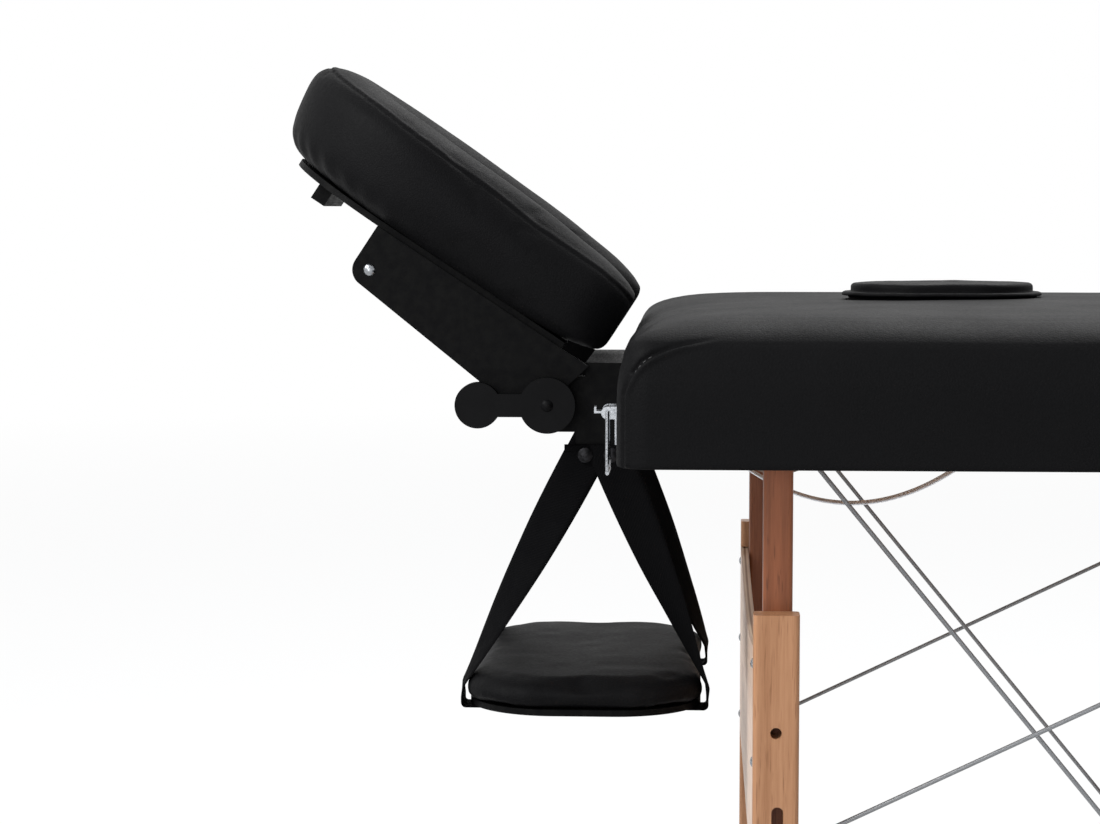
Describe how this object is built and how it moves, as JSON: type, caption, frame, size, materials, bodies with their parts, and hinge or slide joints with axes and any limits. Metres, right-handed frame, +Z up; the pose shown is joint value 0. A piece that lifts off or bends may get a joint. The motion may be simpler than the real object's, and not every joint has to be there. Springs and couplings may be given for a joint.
{
  "type": "folding massage table",
  "caption": "Two-section folding massage table with padded top, telescopic wooden legs, tilting crescent face rest and hanging arm shelf.",
  "frame": {"origin": "on the floor, under the middle of the whole table's box", "axes": "+X from the head end to the foot end, +Y to the long side with the carry handles, +Z up"},
  "size_m": [2.1528, 0.704, 0.8937],
  "materials": {
    "leatherette": "fine grained leatherette, semi-matt",
    "leatherette_side": "fine grained leatherette, semi-matt",
    "beech": "lacquered beech",
    "beech_dark": "lacquered beech, darker",
    "plywood": "birch plywood, sanded",
    "plywood_black": "plywood painted satin black",
    "steel": "zinc-plated steel",
    "chrome": "bright chrome plate",
    "cable": "coated steel wire rope",
    "black_plastic": "moulded black plastic",
    "rubber": "black rubber",
    "webbing": "woven black webbing",
    "tie_webbing": "woven grey webbing"
  },
  "bodies": {
    "head_leaf": {"head_cushion": "leatherette", "head_cover": "leatherette_side", "head_rails": "beech", "head_panel": "plywood", "head_hangers": "plywood", "head_sockets": "beech", "head_pivot_bolts": "steel", "head_handle": "leatherette_side", "head_hinges": "steel", "latch_plates": "chrome", "webbing_tie": "tie_webbing"},
    "foot_leaf": {"foot_cushion": "leatherette", "foot_cover": "leatherette_side", "foot_rails": "beech", "foot_panel": "plywood", "foot_hangers": "plywood", "foot_sockets": "beech", "foot_pivot_bolts": "steel", "foot_handle": "leatherette_side", "foot_hinges": "steel", "catch_plates": "chrome"},
    "face_plug": {"face_plug": "leatherette"},
    "head_leg": {"head_leg_stems": "beech_dark", "head_leg_knobs": "black_plastic", "head_leg_cables": "cable"},
    "head_leg_lower": {"head_leg_posts": "beech", "head_leg_board": "plywood", "head_leg_bolts": "chrome", "head_leg_feet": "rubber"},
    "foot_leg": {"foot_leg_stems": "beech_dark", "foot_leg_knobs": "black_plastic", "foot_leg_cables": "cable"},
    "foot_leg_lower": {"foot_leg_posts": "beech", "foot_leg_board": "plywood", "foot_leg_bolts": "chrome", "foot_leg_feet": "rubber"},
    "head_strut": {"head_strut_slats": "beech_dark", "head_strut_bar": "beech_dark", "head_strut_cables": "cable"},
    "foot_strut": {"foot_strut_slats": "beech_dark", "foot_strut_bar": "beech_dark", "foot_strut_cables": "cable"},
    "rest_base": {"rest_rods": "steel", "rest_cheeks": "plywood_black", "rest_crossbar": "plywood_black", "rest_fasteners": "steel"},
    "rest_cradle": {"rest_pad": "leatherette", "rest_platform": "plywood_black", "rest_brackets": "plywood_black", "rest_bracket_bolts": "chrome", "rest_clip": "steel"},
    "lever_near": {"clamp_lever_near": "black_plastic"},
    "lever_far": {"clamp_lever_far": "black_plastic"},
    "arm_shelf": {"shelf_pad": "leatherette", "shelf_board": "plywood_black", "shelf_straps": "webbing"},
    "bail_near": {"latch_bail_near": "chrome"},
    "bail_far": {"latch_bail_far": "chrome"},
    "latch_near": {"latch_lever_near": "chrome"},
    "latch_far": {"latch_lever_far": "chrome"}
  },
  "joints": [
    {"name": "leaf_fold", "type": "hinge", "parent": "head_leaf", "child": "foot_leaf", "pos_m": [0.13957, -0.012, 0.584], "axis": [0, 1, 0], "range_deg": [0, 180], "deforming": ["webbing_tie"]},
    {"name": "head_leg_fold", "type": "hinge", "parent": "head_leaf", "child": "head_leg", "pos_m": [-0.67213, -0.012, 0.62], "axis": [0, 1, 0], "range_deg": [-90, 0], "deforming": ["head_leg_cables"]},
    {"name": "foot_leg_fold", "type": "hinge", "parent": "foot_leaf", "child": "foot_leg", "pos_m": [0.95127, -0.012, 0.62], "axis": [0, 1, 0], "range_deg": [0, 90], "deforming": ["foot_leg_cables"]},
    {"name": "head_strut_fold", "type": "hinge", "parent": "head_leaf", "child": "head_strut", "pos_m": [-0.31043, -0.012, 0.62], "axis": [0, 1, 0], "range_deg": [-95, 0], "deforming": ["head_strut_cables"]},
    {"name": "foot_strut_fold", "type": "hinge", "parent": "foot_leaf", "child": "foot_strut", "pos_m": [0.58957, -0.012, 0.62], "axis": [0, 1, 0], "range_deg": [0, 95], "deforming": ["foot_strut_cables"]},
    {"name": "head_leg_height", "type": "slide", "parent": "head_leg", "child": "head_leg_lower", "axis": [0, 0, -1], "range_m": [-0.09, 0.06]},
    {"name": "foot_leg_height", "type": "slide", "parent": "foot_leg", "child": "foot_leg_lower", "axis": [0, 0, -1], "range_m": [-0.09, 0.06]},
    {"name": "rest_plug_in", "type": "slide", "parent": "head_leaf", "child": "rest_base", "axis": [-1, 0, 0], "range_m": [0, 0.2]},
    {"name": "rest_tilt", "type": "hinge", "parent": "rest_base", "child": "rest_cradle", "pos_m": [-0.85243, -0.012, 0.619], "axis": [0, 1, 0], "range_deg": [-33, 0]},
    {"name": "clamp_lever_near_turn", "type": "hinge", "parent": "rest_base", "child": "lever_near", "pos_m": [-0.85243, -0.127, 0.619], "axis": [0, 1, 0], "range_deg": [0, 40]},
    {"name": "clamp_lever_far_turn", "type": "hinge", "parent": "rest_base", "child": "lever_far", "pos_m": [-0.85243, 0.103, 0.619], "axis": [0, 1, 0], "range_deg": [0, 40]},
    {"name": "shelf_swing", "type": "hinge", "parent": "rest_base", "child": "arm_shelf", "pos_m": [-0.81193, -0.012, 0.578], "axis": [0, 1, 0], "range_deg": [-5, 5]},
    {"name": "face_plug_lift", "type": "slide", "parent": "head_leaf", "child": "face_plug", "axis": [0, 0, 1], "range_m": [0, 0.09]},
    {"name": "bail_near_swing", "type": "hinge", "parent": "head_leaf", "child": "bail_near", "pos_m": [-0.79743, -0.304, 0.628], "axis": [0, 1, 0], "range_deg": [0, 100]},
    {"name": "bail_far_swing", "type": "hinge", "parent": "head_leaf", "child": "bail_far", "pos_m": [-0.79743, 0.28, 0.628], "axis": [0, 1, 0], "range_deg": [0, 100]},
    {"name": "latch_near_turn", "type": "hinge", "parent": "head_leaf", "child": "latch_near", "pos_m": [-0.79743, -0.304, 0.628], "axis": [0, 1, 0], "range_deg": [0, 90]},
    {"name": "latch_far_turn", "type": "hinge", "parent": "head_leaf", "child": "latch_far", "pos_m": [-0.79743, 0.28, 0.628], "axis": [0, 1, 0], "range_deg": [0, 90]}
  ],
  "couplings": [
    {"joint": "head_leg_fold", "follows": "leaf_fold", "ratio": -0.5},
    {"joint": "foot_leg_fold", "follows": "leaf_fold", "ratio": 0.5},
    {"joint": "head_strut_fold", "follows": "leaf_fold", "ratio": -0.52778},
    {"joint": "foot_strut_fold", "follows": "leaf_fold", "ratio": 0.52778},
    {"joint": "rest_plug_in", "follows": "leaf_fold", "m_per_rad": 0.0636}
  ]
}
